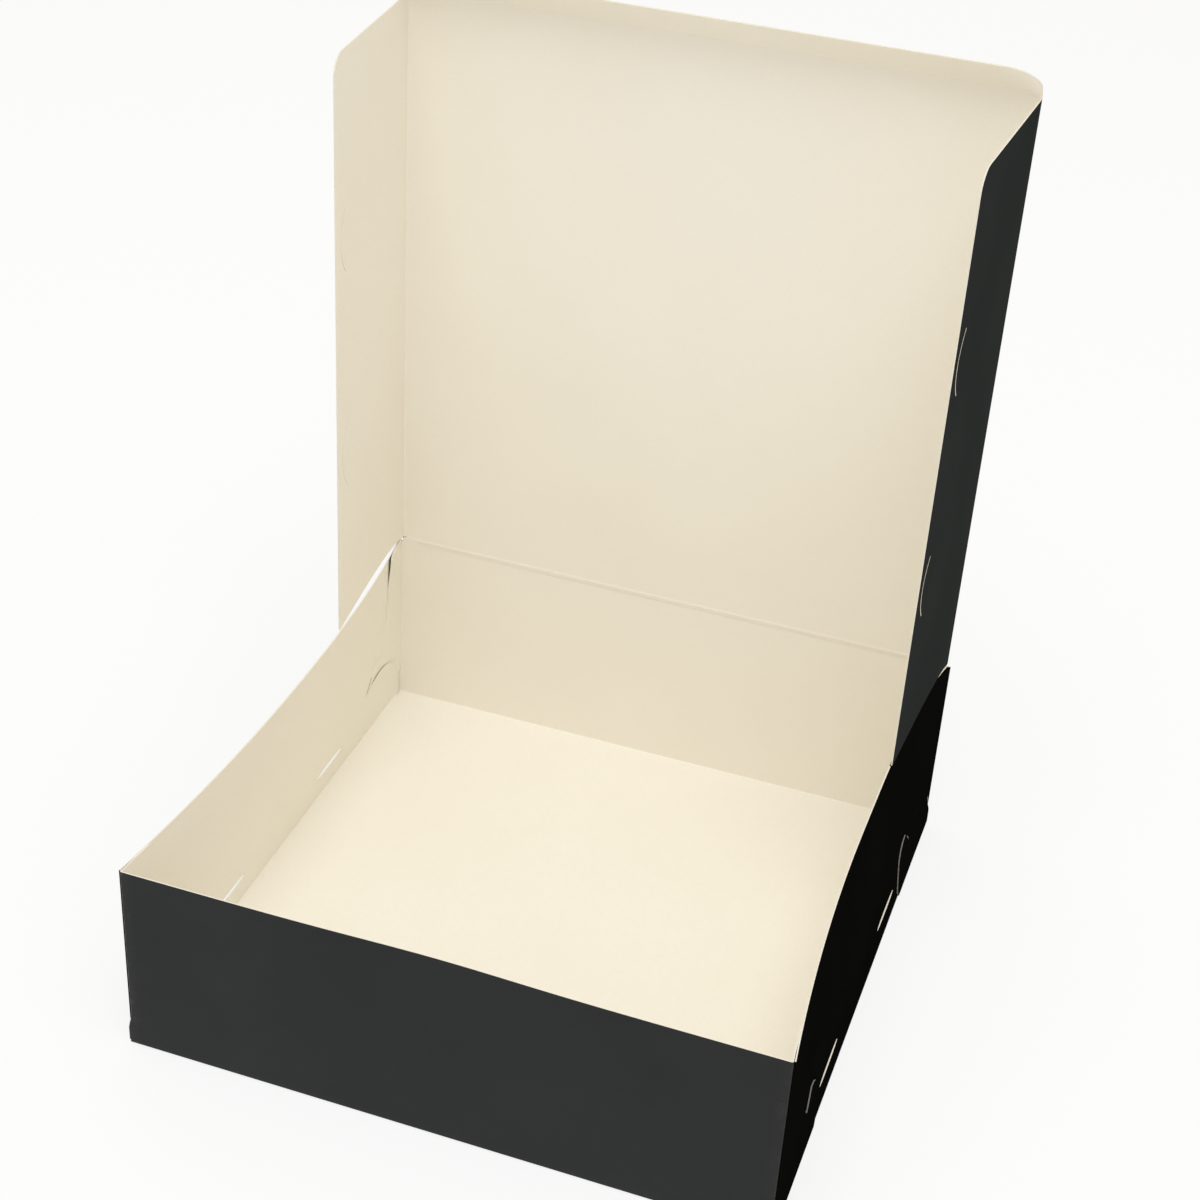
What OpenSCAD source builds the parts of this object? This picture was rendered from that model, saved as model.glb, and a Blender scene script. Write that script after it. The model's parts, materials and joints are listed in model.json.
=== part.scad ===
// Cake box folded from one sheet of board, standing open.
// The origin is the middle of the base, on the table. +Y runs to the back, where the lid is hinged.

/* [Box] */
// Width over the side walls
box_w = 305; // [220:5:400]
// Depth over the front and back walls
box_d = 305; // [260:5:400]
// Height of the lid's fold above the table
box_h = 102; // [80:1:150]

/* [Board] */
// Thickness of the board
board_t = 0.6; // [0.4:0.1:1.2]
// Space between two layers that lie together
layer_gap = 0.3; // [0.2:0.05:0.6]
// Space between a fold's bead and the panel that turns on it
fold_gap = 0.15; // [0.1:0.05:0.4]
// Width of a die-cut slit
slit_w = 0.8; // [0.4:0.1:1.5]

/* [Lid] */
// Angle that the lid stands open
lid_open = 90; // [60:1:120]
// Space between the closed lid's tuck flap and the front wall
front_gap = 1.5; // [1.3:0.1:3]
// Space between the closed lid's side flaps and the corner tabs
side_gap = 0.5; // [0.4:0.1:2]
// Space between the lid and the tops of the walls
top_gap = 0.4; // [0.3:0.1:1]

/* [Side flaps] */
// Height of the closed flap's free edge above the table
flap_rise = 5; // [3:1:15]
// Distance from the lid's hinge to the flap
flap_start = 2; // [1.5:0.5:6]
// Distance from the lid's front fold to the flap
flap_end = 2.5; // [2:0.5:8]
// Radius of the flap's front corner
flap_corner_r = 12; // [4:1:25]
// Radius of the flap's corner beside the hinge
flap_heel_r = 4; // [2:1:10]
// Angle that the flaps are folded in from flat
flap_fold = 94; // [90:1:110]

/* [Tuck flap] */
// Width of the tuck flap
tuck_w = 22; // [14:1:24]
// Radius of its two free corners
tuck_corner_r = 16; // [4:1:20]
// Angle that it is bent forward from flat
tuck_fold = 48; // [0:1:90]

/* [Lid locks] */
// Distance between the two locks on a side
lock_spacing = 114; // [80:2:140]
// Length of a lock slot and of its tongue
lock_len = 33; // [20:1:40]
// Height of the lock slots above the table
lock_z = 14.5; // [11:0.5:20]
// Height of the slot's opening
lock_slot_h = 2.4; // [1.6:0.2:4]
// Distance from the slot up to the root of the tongue
lock_root = 2.5; // [0:0.5:6]
// How far the tongue bulges from its root
lock_bulge = 6; // [3:0.5:9]

/* [Corner locks] */
// Width of the tab that lies inside the side wall
tab_w = 23; // [14:1:30]
// Height above which the tab has that width
tab_shoulder = 64; // [45:1:75]
// Radius of the curved slit that the tab passes through
corner_r = 33; // [26:1:40]
// Distance from the corner to the middle of that curve
corner_in = 31; // [24:1:32]
// Distance from the corner to the slit's end
slit_reach = 50; // [44:1:56]
// Distance from the corner to the hook's nose
hook_reach = 70; // [66:1:76]
// Height of the hook above the table
hook_top = 34; // [30:1:40]
// Radius of the hook's nose
hook_nose_r = 12; // [6:1:14]
// Distance from the table to the hook's lower edge
hook_lift = 2; // [1.5:0.5:4]

/* [Hidden] */
$fn = 96;
// Added to cutting shapes so that they pass right through
over = 1;
// Tops of the front and side walls
wall_top = box_h - board_t / 2 - top_gap;
// Inner faces of the side walls, tabs and hooks, measured from the middle
wall_x = box_w / 2 - board_t;
tab_x = wall_x - layer_gap - board_t;
hook_x = box_w / 2 + layer_gap;
// The lid turns on the middle of the board, at the top of the back wall
hinge_y = box_d / 2 - board_t / 2;
// Fold lines of the lid, measured from its hinge and from its middle
lid_len = hinge_y - (-box_d / 2 + board_t + front_gap + board_t / 2);
flap_x = tab_x - side_gap - board_t / 2;
// A panel starts this far from the fold that it turns on
panel_start = board_t / 2 + fold_gap;
flap_w = box_h - flap_rise;
// The flap's front edge is an arc about the hinge, so that it swings in past the front wall
flap_swing_r = lid_len - flap_end;
// Places of the lid locks, measured forward from the hinge
lock_places = [for (side = [-1, 1]) hinge_y + side * lock_spacing / 2];
// Place of the tongue's root on the flap, and the radius that gives the tongue its bulge
tongue_root = box_h - lock_z - lock_root;
tongue_r = (pow(lock_len / 2, 2) + pow(lock_bulge, 2)) / (2 * lock_bulge);
// Height at which the board in the curved slit meets the end wall, at its outer and inner face
slit_low = sqrt(pow(corner_r, 2) - pow(corner_in, 2));
notch_top = sqrt(pow(corner_r, 2) - pow(corner_in - board_t - layer_gap, 2));
neck_reach = slit_reach - layer_gap;
// Height of the curve where the tab's neck ends
neck_end_z = sqrt(pow(corner_r, 2) - pow(neck_reach - corner_in, 2));

black = [0.18, 0.19, 0.19];
cream = [0.92, 0.88, 0.8];

// Extrudes an outline drawn as [distance from the front wall, height] into a layer at x
module layer(x, thick = board_t) {
    translate([x, -box_d / 2, 0]) rotate([90, 0, 90]) linear_extrude(thick) children();
}

// A straight round bead along a fold
module bead(from, to, r) {
    run = to - from;
    length = norm(run);
    turn = [0, acos(run.z / length), atan2(run.y, run.x)];
    translate(from) rotate(turn) cylinder(r = r, h = length);
}

module mirrored(axis) {
    children();
    mirror(axis) children();
}

// A disc about the middle of the corner's curved slit
module corner_disc(r) {
    translate([corner_in, 0]) circle(r);
}

// Curved slit in the end of a side wall, with room around the board that passes through it
module corner_slit() {
    intersection() {
        difference() {
            corner_disc(corner_r + board_t + layer_gap);
            corner_disc(corner_r - layer_gap);
        }
        translate([-over, 0]) square([slit_reach + over, wall_top]);
    }
    translate([-over, -over]) square([over + board_t + layer_gap, notch_top + over]);
}

// The part of a tab that lies inside the side wall, above the curved slit
module tab_outline() {
    neck_z = neck_end_z + 2 * board_t;
    difference() {
        polygon([
            [board_t, slit_low], [neck_reach, slit_low], [neck_reach, neck_z],
            [tab_w, tab_shoulder], [tab_w, wall_top], [board_t, wall_top]
        ]);
        corner_disc(corner_r);
    }
}

// The part of a tab that stands in the slit itself
module neck_outline() {
    intersection() {
        difference() {
            corner_disc(corner_r + board_t);
            corner_disc(corner_r);
        }
        square([neck_reach, wall_top]);
    }
}

// The hook that comes out below the slit and lies on the outside
module hook_outline() {
    nose = [hook_reach - hook_nose_r, hook_top - hook_nose_r];
    neck_z = neck_end_z - board_t;
    intersection() {
        corner_disc(corner_r + board_t);
        translate([board_t, hook_lift]) square([neck_reach - board_t, hook_top]);
    }
    translate(nose) circle(hook_nose_r);
    polygon([
        [corner_in, hook_lift], [corner_in, neck_z], [neck_reach, neck_z], [nose.x, hook_top],
        [nose.x + hook_nose_r, nose.y], [hook_reach - hook_lift, hook_lift]
    ]);
}

// Tab at the front right corner, folded back along the side wall
module corner_tab() {
    layer(tab_x) tab_outline();
    layer(tab_x, hook_x + board_t - tab_x) neck_outline();
    layer(hook_x) hook_outline();
    fold_y = -box_d / 2 + board_t;
    bead([tab_x, fold_y, slit_low], [tab_x, fold_y, wall_top], board_t);
    bead([hook_x, fold_y, hook_lift], [hook_x, fold_y, slit_low + board_t], board_t);
}

// Front or back wall, up to the height given
module end_wall(top) {
    translate([-tab_x, -box_d / 2, board_t]) cube([2 * tab_x, board_t, top - board_t]);
    translate([-hook_x, -box_d / 2, hook_lift]) {
        cube([2 * hook_x, board_t, slit_low + board_t - hook_lift]);
    }
}

module side_wall() {
    layer(wall_x) difference() {
        translate([0, board_t]) square([box_d, wall_top - board_t]);
        corner_slit();
        translate([box_d, 0]) mirror([1, 0]) corner_slit();
        for (place = lock_places) {
            translate([box_d / 2 + hinge_y - place - lock_len / 2, lock_z - lock_slot_h / 2]) {
                square([lock_len, lock_slot_h]);
            }
        }
    }
}

// Base, four walls and the tabs that lock the corners
module tray() {
    base_x = box_w / 2 - board_t;
    base_y = box_d / 2 - board_t;
    side_y = base_y - layer_gap;
    color(black) {
        translate([-base_x, -base_y, 0]) cube([2 * base_x, 2 * base_y, board_t]);
        mirrored([1, 0, 0]) {
            side_wall();
            bead([base_x, -side_y, board_t], [base_x, side_y, board_t], board_t);
            mirrored([0, 1, 0]) corner_tab();
        }
        end_wall(wall_top);
        mirror([0, 1, 0]) end_wall(box_h);
        mirrored([0, 1, 0]) {
            bead([-tab_x, -base_y, board_t], [tab_x, -base_y, board_t], board_t);
        }
        bead([-tab_x, hinge_y, box_h], [tab_x, hinge_y, box_h], board_t / 2);
    }
}

// Places a piece of the lid, drawn flat as [x, distance from the hinge], at the lid's angle
module on_lid() {
    translate([0, hinge_y, box_h]) rotate([-lid_open, 0, 0]) mirror([0, 1, 0]) children();
}

// Board drawn flat, with its middle on the plane of the drawing
module flat_board() {
    translate([0, 0, -board_t / 2]) linear_extrude(board_t) children();
}

module lid_panel() {
    color(cream) on_lid() {
        flat_board() {
            translate([-flap_x, panel_start]) square([2 * flap_x, lid_len - panel_start]);
        }
        mirrored([1, 0, 0]) {
            bead([flap_x, flap_start, 0], [flap_x, flap_swing_r, 0], board_t / 2);
        }
        bead([-flap_x, lid_len, 0], [flap_x, lid_len, 0], board_t / 2);
    }
}

// Right flap of the lid, drawn as [distance from its fold, distance from the lid's hinge]
module flap_outline() {
    // Middle of the round between the free edge and the arc of the front edge
    far = flap_w - flap_corner_r;
    middle = [far, sqrt(pow(flap_swing_r - flap_corner_r, 2) - pow(far, 2))];
    on_arc = middle * flap_swing_r / (flap_swing_r - flap_corner_r);
    difference() {
        intersection() {
            translate([panel_start, flap_start]) square([flap_w - panel_start, flap_swing_r]);
            circle(flap_swing_r, $fn = 360);
        }
        polygon([[flap_w, middle.y], [flap_w + over, flap_swing_r], on_arc, middle]);
        translate([flap_w - flap_heel_r, flap_start]) difference() {
            translate([0, -over]) square([flap_heel_r + over, flap_heel_r + over]);
            translate([0, flap_heel_r]) circle(flap_heel_r);
        }
        for (place = lock_places) translate([tongue_root, place]) tongue_slit();
    }
    translate(middle) circle(flap_corner_r);
}

// Curved cut that frees a tongue, bulging away from the flap's fold
module tongue_slit() {
    translate([lock_bulge - tongue_r, 0]) intersection() {
        difference() {
            circle(tongue_r);
            circle(tongue_r - slit_w);
        }
        translate([tongue_r - lock_bulge, -lock_len]) square([2 * lock_bulge, 2 * lock_len]);
    }
}

module right_flap() {
    color(cream) on_lid() translate([flap_x, 0, 0]) rotate([0, flap_fold, 0]) {
        flat_board() flap_outline();
    }
}

module left_flap() {
    mirror([1, 0, 0]) right_flap();
}

// Flap along the lid's front edge, with both free corners rounded
module tuck_flap() {
    half = flap_x + board_t / 2;
    color(cream) on_lid() translate([0, lid_len, 0]) rotate([-tuck_fold, 0, 0]) flat_board() {
        translate([-half, panel_start]) square([2 * half, tuck_w - tuck_corner_r - panel_start]);
        inner = half - tuck_corner_r;
        translate([-inner, panel_start]) square([2 * inner, tuck_w - panel_start]);
        for (side = [-1, 1]) intersection() {
            translate([side * inner, tuck_w - tuck_corner_r]) circle(tuck_corner_r);
            translate([-half, panel_start]) square([2 * half, tuck_w]);
        }
    }
}

tray();
lid_panel();
left_flap();
right_flap();
tuck_flap();
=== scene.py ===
import json
import math

import bpy
import numpy as np
from mathutils import Matrix, Vector
from mathutils.geometry import delaunay_2d_cdt


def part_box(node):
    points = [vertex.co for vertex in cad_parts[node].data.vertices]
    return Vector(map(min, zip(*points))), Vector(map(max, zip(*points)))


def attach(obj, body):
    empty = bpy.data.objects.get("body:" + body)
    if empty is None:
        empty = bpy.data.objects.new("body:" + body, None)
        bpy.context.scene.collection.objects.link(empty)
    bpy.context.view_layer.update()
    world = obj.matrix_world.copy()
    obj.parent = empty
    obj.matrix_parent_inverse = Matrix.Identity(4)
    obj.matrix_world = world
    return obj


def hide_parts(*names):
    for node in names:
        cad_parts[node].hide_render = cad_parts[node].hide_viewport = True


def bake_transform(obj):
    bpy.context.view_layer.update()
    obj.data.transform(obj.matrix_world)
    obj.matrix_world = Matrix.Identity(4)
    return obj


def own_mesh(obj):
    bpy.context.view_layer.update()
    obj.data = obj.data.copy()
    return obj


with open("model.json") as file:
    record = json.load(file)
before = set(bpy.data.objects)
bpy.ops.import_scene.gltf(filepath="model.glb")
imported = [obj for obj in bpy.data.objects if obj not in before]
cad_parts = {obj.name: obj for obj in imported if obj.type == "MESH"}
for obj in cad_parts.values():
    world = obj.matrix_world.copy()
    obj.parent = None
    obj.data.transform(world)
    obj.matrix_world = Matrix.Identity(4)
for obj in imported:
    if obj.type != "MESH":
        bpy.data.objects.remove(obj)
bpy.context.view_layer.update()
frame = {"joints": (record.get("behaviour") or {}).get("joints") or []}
scene = bpy.context.scene
scene.view_settings.view_transform = "Standard"

# Sheets are drawn flat in millimetres, then bent into place and turned into metres.
board = {
    "thickness": 0.6,
    "gap": 0.3,         # between two layers that lie together
    "bend": 0.6,        # radius of a fold at the board's middle
    "step": 7.0,        # spacing of the mesh on flat stretches
    "strip": 2.2,       # a crease reaches this far to each side of its fold
    "bead": 0.12,       # swelling on the inside of a crease
}
thick = board["thickness"]
bend = board["bend"]

places = {j["name"]: np.array(j["pos_m"]) * 1000 for j in frame["joints"]}
hinge = places["lid_hinge"]
lidRun = places["tuck_fold"] - hinge
lidLen = float(np.linalg.norm(lidRun))
lidUp = lidRun / lidLen
lidFront = np.array([0.0, -lidUp[2], lidUp[1]])   # out of the lid's inner face
flapX = places["right_flap_fold"][0]
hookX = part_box("tray")[1].x * 1000 - thick / 2    # middle of the outer hook layer
layerStep = thick + board["gap"]
wallX = hookX - layerStep
tabX = wallX - layerStep
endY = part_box("tray")[1].y * 1000 - thick / 2     # middle of the front and back walls
boxDepth = 2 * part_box("tray")[1].y * 1000
wallTop = 2 * hinge[2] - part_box("tray")[1].z * 1000 - 0.4
flapWidth = hinge[2] - 5                          # the closed flaps end this far above the table
print("frame: lid %.1f mm long, walls at %.1f and %.1f mm" % (lidLen, wallX, endY))


# Camera

camera = {
    "azimuth": 17.25,
    "elevation": 32.80,
    "roll": 3.71,
    "place": (0.2615, -0.8075, 0.7392),
    "lens": 67.44,
}


def makeCamera():
    turn, rise, roll = (math.radians(camera[k]) for k in ("azimuth", "elevation", "roll"))
    ahead = Vector((-math.sin(turn) * math.cos(rise), math.cos(turn) * math.cos(rise), -math.sin(rise)))
    level = Vector((math.cos(turn), math.sin(turn), 0))
    upright = level.cross(ahead)
    right = math.cos(roll) * level + math.sin(roll) * upright
    up = math.cos(roll) * upright - math.sin(roll) * level
    data = bpy.data.cameras.new("camera")
    data.lens = camera["lens"]
    data.sensor_width = 36
    data.clip_start = 0.02
    cam = bpy.data.objects.new("camera", data)
    cam.matrix_world = Matrix((
        (right.x, up.x, -ahead.x, camera["place"][0]),
        (right.y, up.y, -ahead.y, camera["place"][1]),
        (right.z, up.z, -ahead.z, camera["place"][2]),
        (0, 0, 0, 1),
    ))
    scene.collection.objects.link(cam)
    scene.camera = cam


makeCamera()


# Materials

cream = {
    "colour": (0.942, 0.899, 0.806),
    "warmer": (0.928, 0.880, 0.781),
    "roughness": (0.62, 0.78),
    "grain": 0.07,
}
black = {
    "colour": (0.0092, 0.0106, 0.0108),
    "lighter": (0.0116, 0.0130, 0.0133),
    "worn": (0.036, 0.035, 0.033),
    "roughness": (0.40, 0.50),
    "specular": 0.22,
    "grain": 0.10,
}
# painted sheen: the flaps get a lighter, matte copy of the board's black, whose colour stands in for the reflection
# of the lit floor
blackFlapPaintedSheen = {**black, "colour": (0.027, 0.030, 0.030), "lighter": (0.031, 0.034, 0.034),
             "roughness": (0.60, 0.70), "specular": 0.0}
# painted shade: the side walls and tabs get a darker, matte copy of the board's black, standing in for the shade on
# the box's sides
blackSidePaintedShade = {**black, "colour": (0.0038, 0.0038, 0.0036), "lighter": (0.0046, 0.0046, 0.0044),
             "roughness": (0.60, 0.70), "specular": 0.0}
cut = {
    "colour": (0.90, 0.86, 0.77),
    "darker": (0.80, 0.75, 0.64),
    "roughness": 0.85,
}
hookCut = {**cut, "colour": (0.36, 0.34, 0.30), "darker": (0.24, 0.22, 0.19)}   # darker cut edge, used on the tabs' edges below the hooks' tops


def newMaterial(name):
    material = bpy.data.materials.new(name)
    material.use_nodes = True
    tree = material.node_tree
    tree.nodes.clear()
    shader = tree.nodes.new("ShaderNodeBsdfPrincipled")
    output = tree.nodes.new("ShaderNodeOutputMaterial")
    tree.links.new(shader.outputs["BSDF"], output.inputs["Surface"])
    return material, tree, shader


def noiseNode(tree, scale, detail=2.0, rough=0.5, stretch=None):
    place = tree.nodes.new("ShaderNodeTexCoord").outputs["Object"]
    if stretch:
        mapping = tree.nodes.new("ShaderNodeMapping")
        mapping.inputs["Scale"].default_value = stretch
        tree.links.new(place, mapping.inputs["Vector"])
        place = mapping.outputs["Vector"]
    node = tree.nodes.new("ShaderNodeTexNoise")
    node.inputs["Scale"].default_value = scale
    node.inputs["Detail"].default_value = detail
    node.inputs["Roughness"].default_value = rough
    tree.links.new(place, node.inputs["Vector"])
    return node.outputs["Fac"]


def spread(tree, value, low, high, outLow, outHigh):
    node = tree.nodes.new("ShaderNodeMapRange")
    for socket, number in zip(("From Min", "From Max", "To Min", "To Max"), (low, high, outLow, outHigh)):
        node.inputs[socket].default_value = number
    tree.links.new(value, node.inputs["Value"])
    return node.outputs["Result"]


def mixColour(tree, factor, first, second):
    node = tree.nodes.new("ShaderNodeMix")
    node.data_type = "RGBA"
    if isinstance(factor, float):
        node.inputs[0].default_value = factor
    else:
        tree.links.new(factor, node.inputs[0])
    for socket, colour in ((node.inputs[6], first), (node.inputs[7], second)):
        if isinstance(colour, tuple):
            socket.default_value = (*colour, 1)
        else:
            tree.links.new(colour, socket)
    return node.outputs[2]


def bumpNode(tree, height, strength, distance, below=None):
    node = tree.nodes.new("ShaderNodeBump")
    node.inputs["Strength"].default_value = strength
    node.inputs["Distance"].default_value = distance
    tree.links.new(height, node.inputs["Height"])
    if below:
        tree.links.new(below, node.inputs["Normal"])
    return node.outputs["Normal"]


def attributeNode(tree, name):
    node = tree.nodes.new("ShaderNodeAttribute")
    node.attribute_name = name
    return node.outputs["Fac"]


def makeCream():
    material, tree, shader = newMaterial("boardCream")
    clouds = spread(tree, noiseNode(tree, 9, 3), 0.35, 0.65, 0, 1)
    fibres = spread(tree, noiseNode(tree, 900, 2, 0.6, (1, 0.35, 1)), 0.4, 0.75, 0, 1)
    colour = mixColour(tree, clouds, cream["colour"], cream["warmer"])
    darker = tuple(v * 0.965 for v in cream["warmer"])
    colour = mixColour(tree, spread(tree, fibres, 0, 1, 0, 0.45), colour, darker)
    tree.links.new(colour, shader.inputs["Base Color"])
    rough = spread(tree, noiseNode(tree, 40, 3), 0.3, 0.7, *cream["roughness"])
    tree.links.new(rough, shader.inputs["Roughness"])
    shader.inputs["Specular IOR Level"].default_value = 0.35
    swell = bumpNode(tree, noiseNode(tree, 22, 2), 0.25, 0.0012)
    grain = bumpNode(tree, noiseNode(tree, 1400, 3, 0.6), cream["grain"], 0.0003, swell)
    tree.links.new(grain, shader.inputs["Normal"])
    return material


def makeBlack(name, black):
    material, tree, shader = newMaterial(name)
    clouds = spread(tree, noiseNode(tree, 14, 3), 0.35, 0.65, 0, 1)
    colour = mixColour(tree, clouds, black["colour"], black["lighter"])
    rubs = spread(tree, noiseNode(tree, 260, 4, 0.7), 0.52, 0.7, 0.15, 0.85)
    wear = tree.nodes.new("ShaderNodeMath")
    wear.operation = "MULTIPLY"
    tree.links.new(attributeNode(tree, "crease"), wear.inputs[0])
    tree.links.new(rubs, wear.inputs[1])
    colour = mixColour(tree, wear.outputs[0], colour, black["worn"])
    tree.links.new(colour, shader.inputs["Base Color"])
    rough = spread(tree, noiseNode(tree, 30, 4), 0.3, 0.7, *black["roughness"])
    tree.links.new(rough, shader.inputs["Roughness"])
    shader.inputs["Specular IOR Level"].default_value = black["specular"]
    swell = bumpNode(tree, noiseNode(tree, 26, 2), 0.2, 0.0012)
    grain = bumpNode(tree, noiseNode(tree, 1100, 2, 0.5), black["grain"], 0.0002, swell)
    tree.links.new(grain, shader.inputs["Normal"])
    return material


def makeCut(name, cut):
    material, tree, shader = newMaterial(name)
    plies = spread(tree, noiseNode(tree, 1500, 3, 0.7), 0.35, 0.65, 0, 1)
    tree.links.new(mixColour(tree, plies, cut["colour"], cut["darker"]), shader.inputs["Base Color"])
    shader.inputs["Roughness"].default_value = cut["roughness"]
    shader.inputs["Specular IOR Level"].default_value = 0.2
    fuzz = bumpNode(tree, noiseNode(tree, 2500, 2, 0.6), 0.3, 0.0002)
    tree.links.new(fuzz, shader.inputs["Normal"])
    return material


creamFace, cutFace = makeCream(), makeCut("boardCut", cut)
boardFaces = [creamFace, makeBlack("boardBlack", black), cutFace]
flapFaces = [creamFace, makeBlack("flapBlack", blackFlapPaintedSheen), cutFace]
sideFaces = [creamFace, makeBlack("sideBlack", blackSidePaintedShade), cutFace, makeCut("hookCut", hookCut)]
# the three blacks are one board: the flaps' copy carries painted sheen and the side walls' copy painted shade
print("materials: cream, black in three finishes, cut edge")


# Flat sheets and their bending

def smooth(value):
    value = np.clip(value, 0, 1)
    return value * value * (3 - 2 * value)


def foldArc(along, start, radius, angle):
    # a sheet that runs straight, bends by angle from start on, and runs straight again
    turned = np.clip(along - start, 0, radius * angle) / radius
    rest = np.maximum(along - start - radius * angle, 0)
    out = np.minimum(along, start) + radius * np.sin(turned) + rest * math.cos(angle)
    up = radius * (1 - np.cos(turned)) + rest * math.sin(angle)
    return out, up


def arcPoints(centre, radius, fromAngle, toAngle, count):
    return [
        (centre[0] + radius * math.cos(t), centre[1] + radius * math.sin(t))
        for t in np.linspace(fromAngle, toAngle, count)
    ]


def linesBetween(start, end, step, dense=()):
    # evenly spaced lines, with closer ones inside the dense stretches (from, to, count)
    lines = [start, end]
    cuts = sorted({start, end, *(v for d in dense for v in d[:2] if start < v < end)})
    for low, high in zip(cuts, cuts[1:]):
        inside = [d for d in dense if d[0] <= low + 1e-6 and high <= d[1] + 1e-6]
        count = inside[0][2] if inside else max(1, math.ceil((high - low) / step))
        lines += list(np.linspace(low, high, count + 1))
    lines = sorted(lines)
    return np.array([v for v, before in zip(lines, [-1e9] + lines[:-1]) if v - before > 1e-4])


def splitLoop(loop, aLines, bLines):
    # a closed outline, cut where it meets the mesh lines
    result = []
    for (a0, b0), (a1, b1) in zip(loop, loop[1:] + loop[:1]):
        cuts = [0.0]
        for lines, v0, v1 in ((aLines, a0, a1), (bLines, b0, b1)):
            if abs(v1 - v0) > 1e-9:
                cuts += [t for t in (lines - v0) / (v1 - v0) if 0 < t < 1]
        length = math.hypot(a1 - a0, b1 - b0)
        last = -1e9
        for t in sorted(cuts):
            if (t - last) * length > 0.04 and (t == 0 or (1 - t) * length > 0.04):
                result.append((a0 + (a1 - a0) * t, b0 + (b1 - b0) * t))
                last = t
    return result


def insideLoop(points, loop):
    ring = np.array(loop)
    after = np.roll(ring, -1, axis=0)
    a, b = points[:, :1], points[:, 1:]
    crossing = (ring[:, 1] > b) != (after[:, 1] > b)
    with np.errstate(divide="ignore", invalid="ignore"):
        where = ring[:, 0] + (b - ring[:, 1]) * (after[:, 0] - ring[:, 0]) / (after[:, 1] - ring[:, 1])
    return (crossing & (a < where)).sum(1) % 2 == 1


def gapTo(lines):
    gaps = np.diff(lines)
    return np.minimum(np.append(gaps, gaps[-1]), np.insert(gaps, 0, gaps[0]))


def flatMesh(outline, holes, aLines, bLines):
    loops = [splitLoop(loop, aLines, bLines) for loop in [outline, *holes]]
    edge = np.array([p for loop in loops for p in loop])
    joins = []
    first = 0
    for loop in loops:
        joins += [(first + i, first + (i + 1) % len(loop)) for i in range(len(loop))]
        first += len(loop)
    grid = np.array(np.meshgrid(aLines, bLines, indexing="ij")).reshape(2, -1).T
    room = np.minimum(*np.meshgrid(gapTo(aLines), gapTo(bLines), indexing="ij")).reshape(-1) * 0.33
    keep = insideLoop(grid, loops[0])
    for loop in loops[1:]:
        keep &= ~insideLoop(grid, loop)
    grid, room = grid[keep], room[keep]
    if len(grid):
        before, after = edge[[j[0] for j in joins]], edge[[j[1] for j in joins]]
        run = after - before
        share = ((grid[:, None] - before) * run).sum(2) / np.maximum((run * run).sum(1), 1e-12)
        near = before + np.clip(share, 0, 1)[..., None] * run
        grid = grid[np.linalg.norm(grid[:, None] - near, axis=2).min(1) > room]
    coords = [Vector(p) for p in np.vstack([edge, grid])]
    points, _, faces, *_ = delaunay_2d_cdt(coords, joins, [], 0, 1e-5, False)
    points = np.array([tuple(p) for p in points])
    faces = np.array([f for f in faces if len(f) == 3])
    middles = points[faces].mean(1)
    keep = insideLoop(middles, loops[0])
    for loop in loops[1:]:
        keep &= ~insideLoop(middles, loop)
    return points, faces[keep]


def plate(name, outline, place, facing, aLines, bLines, holes=(), crease=None, bead=None, rimFace=None,
          faceSet=boardFaces):
    # bends a flat sheet by place(a, b) and gives it its thickness
    # facing is 1 or -1, for the side that is cream, and rimFace(a, b) says which face its cut edge has
    points, faces = flatMesh(outline, holes, aLines, bLines)
    a, b = points[:, 0], points[:, 1]
    tiny = 0.01
    middle = place(a, b)
    across = np.cross(place(a + tiny, b) - place(a - tiny, b), place(a, b + tiny) - place(a, b - tiny))
    normal = facing * across / np.maximum(np.linalg.norm(across, axis=1), 1e-12)[:, None]
    swell = bead(a, b) if bead else np.zeros(len(a))
    inner = middle + normal * (thick / 2 + swell)[:, None]
    outer = middle - normal * thick / 2
    count = len(points)
    if facing < 0:
        faces = faces[:, ::-1]
    rims = {(int(f[i]), int(f[(i + 1) % 3])) for f in faces for i in range(3)}
    rims = sorted((i, j) for i, j in rims if (j, i) not in rims)
    sides = [(i, i + count, j + count, j) for i, j in rims]
    polygons = [tuple(map(int, f)) for f in faces] + [tuple(int(v) + count for v in f[::-1]) for f in faces]
    mesh = bpy.data.meshes.new(name)
    mesh.from_pydata((np.vstack([inner, outer]) / 1000).tolist(), [], polygons + sides)
    rim = rimFace(a, b) if rimFace else np.full(count, 2)
    rimSlots = [rim[i] if rim[i] == rim[j] else 2 for i, j in rims]
    slots = np.concatenate([np.repeat([0, 1], len(faces)), rimSlots])
    mesh.polygons.foreach_set("material_index", slots.astype(np.int32))
    for material in faceSet:
        mesh.materials.append(material)
    wear = crease(a, b) if crease else np.zeros(count)
    layer = mesh.attributes.new("crease", "FLOAT", "POINT")
    layer.data.foreach_set("value", np.concatenate([wear, wear]).astype(np.float32))
    mesh.polygons.foreach_set("use_smooth", [True] * len(mesh.polygons))
    mesh.set_sharp_from_angle(angle=math.radians(38))
    mesh.update()
    piece = bpy.data.objects.new(name, mesh)
    scene.collection.objects.link(piece)
    return piece


# The tray

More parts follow.
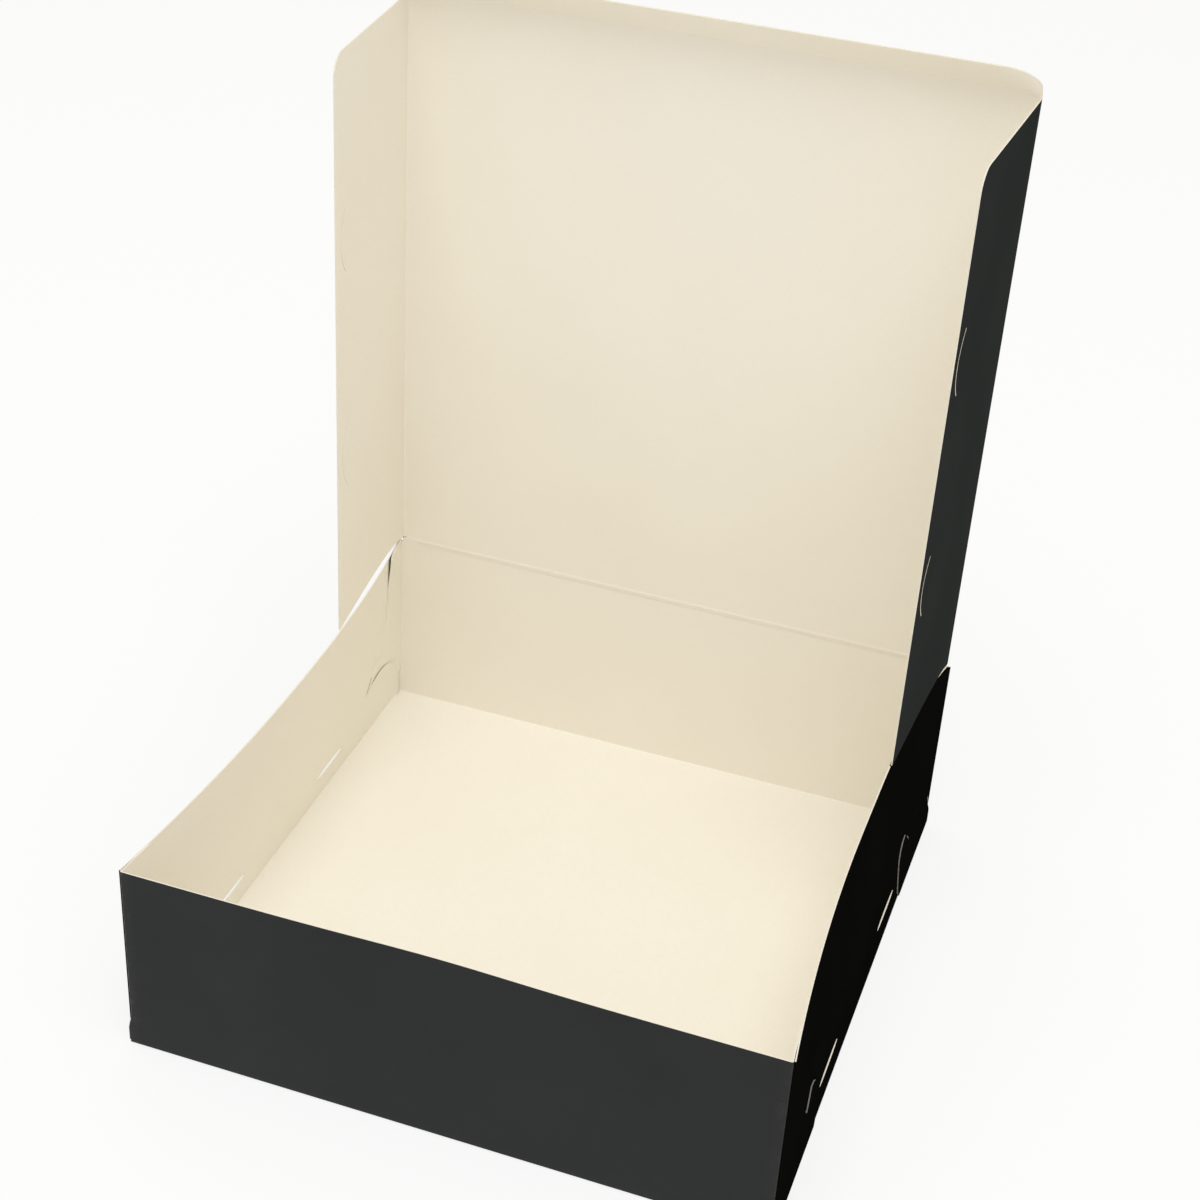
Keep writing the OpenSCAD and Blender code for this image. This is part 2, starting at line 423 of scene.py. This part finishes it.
walls = {
    "sideBow": (9.9, 9.8),      # left and right, inwards at the middle of the top edge
    "bowPower": ((2.0, 2.4), (2.0, 4.0)),   # front and back half, 2 for a plain curve, more for a flatter one
    "frontBow": 1.6,
    "frontBowWidth": 48,
    "flatten": 0.1,             # share of the bow that is left when the lid is shut
    "setBack": 0.9,             # from the box's front to the cut ends of its side walls
    "backHeight": 2.0,          # the back wall stops this far below the lid's fold
}
locks = {
    "cornerIn": 31, "cornerR": 33, "slitHalf": 0.25, "slitEnd": 50, "neckEnd": 49.7,
    "tabWidth": 23, "shoulder": 64, "hookTop": 34, "hookReach": 70, "hookNose": 12, "hookLift": 2,
    "lip": 0.5,                 # how far the slit's lips are pushed apart
    "lipReach": 8,
    "lipEnd": 46,               # from here to the slit's end they lie together
    "stand": 1.3,               # how far a back tab's upper corner stands off the wall
    "standFrom": 80,            # below this height the tab lies against the wall
    "press": (0.27, 0.4),       # how far a tab is pressed into the wall, and how much more at its neck
    "slotPlaces": (95.5, 209.5), "slotLength": 33, "slotHeight": 2.9, "slotZ": 14.5,
}
fold = endY - bend                              # where the base starts to bend up
arcLength = bend * math.pi / 2
cornerStart = tabX - bend                       # where an end wall starts to bend into its tab
cornerEnd = cornerStart + arcLength
tabStart = boxDepth / 2 - endY + bend           # from the box's front to the start of its tab


def heightOf(along):
    # height of a point that lies this far from the base's middle, measured over the fold
    return foldArc(along, fold, bend, math.pi / 2)[1] + thick / 2


def alongOf(height):
    return fold + arcLength + height - thick / 2 - bend


def lowShare(z):
    # 1 where an end wall runs on into the outer hook, 0 where it runs on into the inner tab
    return 1 - smooth((z - 9) / 8)


def sideBow(s, z, side):
    run = (s - boxDepth / 2) / (boxDepth / 2)
    powers = walls["bowPower"][side > 0]
    share = 1 - np.abs(run) ** np.where(run > 0, powers[1], powers[0])
    return walls["sideBow"][side > 0] * share * z / wallTop


def placeTray(a, b):
    sideOut, sideUp = foldArc(np.abs(a), wallX - bend, bend, math.pi / 2)
    endOut, endUp = foldArc(np.abs(b), fold, bend, math.pi / 2)
    along, depth = foldArc(np.abs(a), cornerStart, bend, math.pi / 2)
    z = thick / 2 + np.where(np.abs(b) > fold, endUp, sideUp)
    widen = (hookX - tabX) * lowShare(z) * smooth((np.abs(a) - 115) / 34)
    isEnd = np.abs(b) > fold
    x = np.sign(a) * np.where(isEnd, along + widen, sideOut)
    front = walls["frontBow"] * np.exp(-((a + 4) / walls["frontBowWidth"]) ** 2) * (z / wallTop) ** 1.3
    y = np.sign(b) * np.where(isEnd, endOut - depth, np.abs(b)) + np.where(isEnd & (b < 0), front, 0)
    return np.stack([x, y, z], 1)


def nearLine(value, at, width=1.0):
    return np.exp(-((value - at) / width) ** 2)


def trayCrease(a, b):
    value = np.maximum(nearLine(np.abs(a), wallX - 0.2), nearLine(np.abs(b), endY - 0.2))
    corner = nearLine(np.abs(a), tabX - 0.2) * (np.abs(b) > fold)
    return np.clip(np.maximum(value, corner), 0, 1)


def blackRim(a, b):
    return np.ones(len(a), int)


def frontRim(a, b):
    return np.where(b < -alongOf(wallTop - 1), 2, 1)


def mirrorLoop(points):
    # closes an outline that is given for a > 0, from bottom to top
    return points + [(-a, b) for a, b in reversed(points)]


def makeTray():
    inner = fold
    sideEnd = wallX - bend + arcLength + 0.25
    low = alongOf(locks["hookLift"])
    backTop = alongOf(hinge[2] - walls["backHeight"])
    seam = fold + arcLength + 0.25               # the front wall starts here
    sideStop = tabX - thick / 2
    outline = mirrorLoop([
        (cornerStart, -seam), (cornerStart, -inner), (inner, -sideStop), (sideEnd, -sideStop),
        (sideEnd, sideStop), (inner, sideStop), (cornerStart, inner), (cornerStart, low),
        (cornerEnd, low), (cornerEnd, backTop),
    ])
    arcs = [(wallX - bend, wallX - bend + arcLength, 5), (cornerStart, cornerEnd, 5)]
    aDense = [arcs[1], (arcs[0][0], arcs[0][1], 5)]
    edges = sorted({v for d in aDense for v in d[:2]})
    positive = list(np.linspace(cornerStart, cornerEnd, 6)) + list(np.linspace(arcs[0][0], sideEnd, 7))
    aLines = np.array(sorted({round(s * v, 4) for v in positive for s in (-1, 1)}
                             | set(np.round(linesBetween(-edges[0], edges[0], board["step"]), 4))))
    bArc = [round(v, 4) for v in np.linspace(fold, fold + arcLength, 6)] + [round(seam, 4)]
    bLines = np.array(sorted({s * v for v in bArc for s in (-1, 1)}
                             | set(np.round(linesBetween(-fold, fold, board["step"]), 4))
                             | set(np.round(linesBetween(seam, backTop, board["step"]), 4))))
    piece = plate("trayBase", outline, placeTray, 1, aLines, bLines, crease=trayCrease, rimFace=blackRim)
    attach(piece, "tray")
    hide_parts("tray")

    top = alongOf(wallTop)
    outline = [(-cornerEnd, -top), (-cornerEnd, -low), (-cornerStart, -low), (-cornerStart, -seam),
               (cornerStart, -seam), (cornerStart, -low), (cornerEnd, -low), (cornerEnd, -top)]
    aLines = np.array(sorted({round(s * v, 4) for v in np.linspace(cornerStart, cornerEnd, 6) for s in (-1, 1)}
                             | set(np.round(linesBetween(-cornerStart, cornerStart, 5), 4))))
    bLines = linesBetween(-top, -seam, 4)
    piece = plate("frontWall", outline, placeTray, 1, aLines, bLines, crease=trayCrease, rimFace=frontRim)
    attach(piece, "tray")
    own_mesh(piece)


def slitDistance(s, z):
    return np.hypot(s - locks["cornerIn"], z) - locks["cornerR"]


def lipPush(s, z):
    # the slit's upper lip moves out and its lower lip moves in, to let the tab through
    d = slitDistance(s, z)
    share = smooth(1 - np.abs(d) / locks["lipReach"]) * smooth((locks["lipEnd"] - s) / 10) * smooth((s - 1) / 9)
    return locks["lip"] * share * np.tanh(d / 0.3)


def placeWall(side):
    def place(s, z):
        push = lipPush(s, z) + lipPush(boxDepth - s, z)
        x = side * (wallX - sideBow(s, z, side) + push)
        return np.stack([x, s - boxDepth / 2, z], 1)
    return place


def placeTab(side, back):
    def place(s, z):
        d = slitDistance(s, z)
        half = 4 - 2.6 * smooth((s - 30) / 19)
        outside = np.maximum(smooth(0.5 - d / (2 * half)), s > locks["neckEnd"] + 1e-4)
        start = smooth(1 - (s - tabStart) / 6)
        outside = outside * (1 - start) + lowShare(z) * start
        free = np.clip((s - 8) / 15, 0, 1) ** 3
        stand = locks["stand"] * free * smooth((z - locks["standFrom"]) / 22) * back
        press = locks["press"][0] * smooth((s - 5) / 8)
        press += locks["press"][1] * smooth((s - 20) / 6) * smooth((locks["shoulder"] + 4 - z) / 8)
        full = boxDepth - s if back else s
        x = side * (tabX + (hookX - tabX) * outside - sideBow(full, z, side) - stand + press * (1 - outside))
        return np.stack([x, full - boxDepth / 2, z], 1)
    return place


def cornerArc(radius, fromS, toS, count):
    # points on the corner's slit curve, from one distance to another
    angles = [math.acos(np.clip((s - locks["cornerIn"]) / radius, -1, 1)) for s in (fromS, toS)]
    return arcPoints((locks["cornerIn"], 0), radius, angles[0], angles[1], count)


def wallOutline():
    start = walls["setBack"]
    under = cornerArc(locks["cornerR"] - locks["slitHalf"], start, locks["slitEnd"], 30)
    over = cornerArc(locks["cornerR"] + locks["slitHalf"], locks["slitEnd"], start, 30)
    low = thick / 2 + bend + 0.25
    left = [(start, low)] + under + over + [(start, wallTop)]
    right = [(boxDepth - s, z) for s, z in left]
    return left + right[::-1]


def wallRim(side):
    # a wall's cut ends look black, and so does the right one's top beside the lid's flap
    def rim(s, z):
        ends = np.abs(s - boxDepth / 2) > boxDepth / 2 - walls["setBack"] - 0.1
        top = (z > wallTop - 1) & (s > boxDepth - flapWidth) & (side > 0)
        return np.where(ends | top, 1, 2)
    return rim


def tabRim(side, back):
    def rim(s, z):
        top = (z > wallTop - 2) & (side > 0) & back
        return np.where(z < locks["hookTop"] + 3, 3, np.where(top, 1, 2))
    return rim


def slotHole(centre):
    half, high = locks["slotLength"] / 2, locks["slotHeight"] / 2
    top = [(centre + half * math.cos(t), locks["slotZ"] + high * math.sin(t) ** 0.7)
           for t in np.linspace(0.02, math.pi - 0.02, 15)]
    low = [(s, 2 * locks["slotZ"] - z) for s, z in reversed(top)]
    return top + low


def tabOutline():
    nose = (locks["hookReach"] - locks["hookNose"], locks["hookTop"] - locks["hookNose"])
    neck = locks["neckEnd"]
    crossing = math.sqrt(locks["cornerR"] ** 2 - (neck - locks["cornerIn"]) ** 2)
    return (
        [(tabStart, locks["hookLift"]), (locks["hookReach"] - 3, locks["hookLift"]),
         (locks["hookReach"], locks["hookLift"] + 4)]
        + arcPoints(nose, locks["hookNose"], 0, math.pi / 2, 12)
        + [(neck + 0.6, crossing - 1.4), (neck, crossing - 1.0), (neck, crossing + 1.4),
           (locks["tabWidth"] + 4, locks["shoulder"] - 8), (locks["tabWidth"] + 1, locks["shoulder"] - 2),
           (locks["tabWidth"], locks["shoulder"] + 5)]
    )


def makeSides():
    for side, word in ((-1, "left"), (1, "right")):
        start = walls["setBack"]
        dense = [(start, 56, 22), (boxDepth - 56, boxDepth - start, 22)]
        sLines = linesBetween(start, boxDepth - start, 5, dense)
        zLines = linesBetween(thick / 2 + bend + 0.25, wallTop, 5, [(2, 38, 14)])
        holes = [slotHole(c) for c in locks["slotPlaces"]]
        piece = plate(word + "Wall", wallOutline(), placeWall(side), -side, sLines, zLines, holes,
                      rimFace=wallRim(side), faceSet=sideFaces)
        pieces = [piece]
        for back in (False, True):
            top = wallTop
            outline = tabOutline() + arcPoints((locks["tabWidth"] - 1.5, top - 1.5), 1.5, 0, math.pi / 2, 5)
            outline += [(tabStart, top)]
            sLines = linesBetween(tabStart, locks["hookReach"], 2.2, [(48, 51.4, 4)])
            zLines = linesBetween(locks["hookLift"], top, 5, [(2, 40, 22)])
            facing = side if back else -side
            tabName = word + ("Back" if back else "Front") + "Tab"
            pieces.append(plate(tabName, outline, placeTab(side, back), facing, sLines, zLines,
                                rimFace=tabRim(side, back), faceSet=sideFaces))
        for piece in pieces:
            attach(piece, "tray")
            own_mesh(piece)


makeTray()
makeSides()
print("tray: %.1f mm to the tops of its walls" % wallTop)


# The lid

lid = {
    "flapStart": 1.0, "flapEnd": 2.5, "flapAngle": 94,
    "flapCorner": 10, "heelCorner": 1,
    "heelStart": 0.4,           # the flap's free corner lies this far from the lid's fold
    "heelCurve": 3.7,           # and the edge between curves in by this much
    "tuckAngle": 48, "tuckWidth": 22, "tuckCorner": 16,
    "tongueSpacing": 114, "tongueLength": 33, "tongueBulge": 6, "tongueSlit": 0.8,
}
strip = board["strip"]
flapFront = lidLen - lid["flapEnd"]
flapTurn = math.radians(lid["flapAngle"])
flapReach = bend * math.tan(flapTurn / 2)            # from the fold line to either end of its bend
flapOffset = flapX - 2 * flapReach + bend * flapTurn  # turns a distance on the flap into one on the sheet
tuckTurn = math.radians(lid["tuckAngle"])
tuckReach = bend * math.tan(tuckTurn / 2)
tuckOffset = lidLen - 2 * tuckReach + bend * tuckTurn


def placeLid(u, s):
    # u runs from the lid's middle out over the side folds, s from the hinge up over the front fold
    out, inward = foldArc(np.abs(u), flapX - flapReach, bend, flapTurn)
    x = np.sign(u) * out
    along, forward = foldArc(s, lidLen - tuckReach, bend, tuckTurn)
    run = np.where(np.abs(u) > flapX + 1, s, along)
    front = np.where(np.abs(u) > flapX + 1, inward, np.maximum(inward, 0) + forward)
    down = np.minimum(s, 0)
    point = hinge + run[:, None] * lidUp + front[:, None] * lidFront
    point = np.where(down[:, None] < 0, hinge + down[:, None] * np.array([0, 0, 1.0]), point)
    point[:, 0] = x
    return point


def flapBead(u, s):
    return board["bead"] * nearLine(np.abs(u), flapX, 0.7)


def tuckBead(u, s):
    return board["bead"] * 5 * nearLine(s, lidLen, 0.7)


def hingeBead(u, s):
    return board["bead"] * 2 * nearLine(s, 0, 0.7)


def lidCrease(u, s):
    value = np.maximum(nearLine(np.abs(u), flapX), nearLine(s, lidLen))
    return np.clip(np.maximum(value, 0.7 * nearLine(s, 0)), 0, 1)


def tongueHole(side, place):
    # curved cut that frees a tongue, bulging away from the flap's fold
    root = flapOffset + hinge[2] - locks["slotZ"] - 2.5
    half, bulge = lid["tongueLength"] / 2, lid["tongueBulge"]
    radius = (half ** 2 + bulge ** 2) / (2 * bulge)
    reach = math.asin(half / radius)
    centre = (root + bulge - radius, place)
    outer = arcPoints(centre, radius, -reach, reach, 20)
    inner = arcPoints(centre, radius - lid["tongueSlit"], reach, -reach, 20)
    loop = outer + inner
    return loop if side > 0 else [(-u, s) for u, s in reversed(loop)]


def flapOutline(side):
    turn = lid["flapCorner"]
    start = strip
    corner = arcPoints((flapWidth - turn, flapFront - turn), turn, 0, math.pi / 2, 12)
    heelW = flapWidth - lid["heelCorner"]
    heel = arcPoints((heelW, lid["heelStart"] + lid["heelCorner"]), lid["heelCorner"], -math.pi / 2, 0, 6)
    low = []
    for share in np.linspace(0, 1, 16)[:-1]:
        s = lid["flapStart"] + (lid["heelStart"] - lid["flapStart"]) * share
        low.append((start + (heelW - start) * share, s + lid["heelCurve"] * math.sin(math.pi * share ** 0.65)))
    loop = low + heel + corner + [(start, flapFront)]
    loop = [(w + flapOffset, s) for w, s in loop]
    return loop if side > 0 else [(-u, s) for u, s in reversed(loop)]


def makeLid():
    sideIn = flapX - strip
    step = board["step"]
    low, high = lid["flapStart"], flapFront
    outline = [
        (-sideIn, strip), (sideIn, strip), (sideIn, high), (flapX, high), (flapX, lidLen - strip),
        (-flapX, lidLen - strip), (-flapX, high), (-sideIn, high),
    ]
    uLines = linesBetween(-sideIn, sideIn, step)
    sLines = linesBetween(strip, lidLen - strip, step)
    piece = plate("lidPanel", outline, placeLid, 1, uLines, sLines)
    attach(piece, "lid")
    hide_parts("lid_panel")

    # crease between the back wall and the lid
    outline = [(-flapX, -strip), (flapX, -strip), (flapX, low - 0.2), (sideIn, low - 0.2), (sideIn, strip),
               (-sideIn, strip), (-sideIn, low - 0.2), (-flapX, low - 0.2)]
    sLines = np.linspace(-strip, strip, 15)
    piece = plate("hingeCrease", outline, placeLid, 1, linesBetween(-flapX, flapX, 10), sLines,
                  crease=lidCrease, bead=hingeBead, rimFace=blackRim)
    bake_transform(piece)

    # crease between the lid and its tuck flap
    ends = (lidLen - strip, tuckOffset + strip)
    outline = [(-flapX, ends[0]), (flapX, ends[0]), (flapX, ends[1]), (-flapX, ends[1])]
    sLines = linesBetween(*ends, 0.5)
    piece = plate("tuckCrease", outline, placeLid, 1, linesBetween(-flapX, flapX, 10), sLines,
                  crease=lidCrease, bead=tuckBead)
    ends = placeLid(np.zeros(2), np.array(ends))
    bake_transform(piece)

    # tuck flap
    corner = lid["tuckCorner"]
    inner = flapX - corner
    bottom, top = tuckOffset + strip, tuckOffset + lid["tuckWidth"]
    half = arcPoints((inner, top - corner), corner, 0, math.pi / 2, 12)
    outline = [(flapX, bottom)] + half + [(-u, s) for u, s in reversed(half)] + [(-flapX, bottom)]
    piece = plate("tuckFlap", outline, placeLid, 1, linesBetween(-flapX, flapX, step), linesBetween(bottom, top, 4))
    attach(piece, "tuck")
    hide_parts("tuck_flap")

    for side, word in ((-1, "left"), (1, "right")):
        sLines = linesBetween(low, high, step)
        edges = (sideIn, strip + flapOffset)
        outline = [(edges[0], low), (edges[1], low), (edges[1], high), (edges[0], high)]
        if side < 0:
            outline = [(-u, s) for u, s in reversed(outline)]
        uLines = np.array(sorted(side * v for v in linesBetween(edges[0], edges[1], 0.35)))
        piece = plate(word + "Crease", outline, placeLid, 1, uLines, sLines, crease=lidCrease, bead=flapBead,
                      faceSet=flapFaces)
        ends = placeLid(np.array([side * edges[0], side * edges[1]]), np.array([100.0, 100.0]))
        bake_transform(piece)

        uLines = np.array(sorted(side * v for v in linesBetween(edges[1], flapWidth + flapOffset, 4)))
        holes = [tongueHole(side, hinge[1] + k * lid["tongueSpacing"] / 2) for k in (-1, 1)]
        sLines = linesBetween(lid["heelStart"], flapFront, 5)
        piece = plate(word + "Flap", flapOutline(side), placeLid, 1, uLines, sLines, holes,
                      faceSet=flapFaces)
        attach(piece, word + "_flap")
        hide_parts(word + "_flap")


makeLid()
print("lid: flaps %.1f mm wide" % flapWidth)


# Floor and light

studio = {
    "floorColour": (0.95, 0.95, 0.95),
    "world": (1.0, 0.965, 0.89),
    "worldStrength": 0.72,
    "backdrop": 0.8,            # share of plain white in what the camera sees of the floor
    "key": {"place": (0.22, -0.75, 2.5), "size": 1.8, "power": 26.0, "colour": (0.92, 0.965, 1.0)},
}


def makeLamp(name, spec):
    data = bpy.data.lights.new(name, "AREA")
    data.shape = "DISK"
    data.size = spec["size"]
    data.energy = spec["power"]
    data.color = spec["colour"]
    lamp = bpy.data.objects.new(name, data)
    lamp.location = spec["place"]
    aim = Vector((0, 0, 0.12)) - Vector(spec["place"])
    lamp.rotation_euler = aim.to_track_quat("-Z", "Y").to_euler()
    scene.collection.objects.link(lamp)


def seenDirectly(tree):
    # 1 for what the camera sees, straight or in a gloss or through glass
    path = tree.nodes.new("ShaderNodeLightPath")
    total = path.outputs["Is Camera Ray"]
    for name in ("Is Glossy Ray", "Is Transmission Ray"):
        node = tree.nodes.new("ShaderNodeMath")
        node.operation = "MAXIMUM"
        tree.links.new(total, node.inputs[0])
        tree.links.new(path.outputs[name], node.inputs[1])
        total = node.outputs[0]
    return total


def makeStudio():
    mesh = bpy.data.meshes.new("floor")
    mesh.from_pydata([(-6, -6, -0.0004), (6, -6, -0.0004), (6, 6, -0.0004), (-6, 6, -0.0004)], [], [(0, 1, 2, 3)])
    floor = bpy.data.objects.new("floor", mesh)
    scene.collection.objects.link(floor)
    material, tree, shader = newMaterial("floor")
    shader.inputs["Base Color"].default_value = (*studio["floorColour"], 1)
    shader.inputs["Roughness"].default_value = 0.9
    shader.inputs["Specular IOR Level"].default_value = 0.2
    white = tree.nodes.new("ShaderNodeEmission")
    both = tree.nodes.new("ShaderNodeMixShader")
    tree.links.new(spread(tree, seenDirectly(tree), 0, 1, 0, studio["backdrop"]), both.inputs[0])
    tree.links.new(shader.outputs["BSDF"], both.inputs[1])
    tree.links.new(white.outputs["Emission"], both.inputs[2])
    tree.links.new(both.outputs[0], tree.nodes["Material Output"].inputs["Surface"])
    mesh.materials.append(material)
    world = bpy.data.worlds.new("world")
    world.use_nodes = True
    tree = world.node_tree
    background = tree.nodes["Background"]
    seen = seenDirectly(tree)
    colour = mixColour(tree, seen, studio["world"], (1.0, 1.0, 1.0))
    tree.links.new(colour, background.inputs["Color"])
    tree.links.new(spread(tree, seen, 0, 1, studio["worldStrength"], 1), background.inputs["Strength"])
    scene.world = world
    makeLamp("key", studio["key"])


makeStudio()
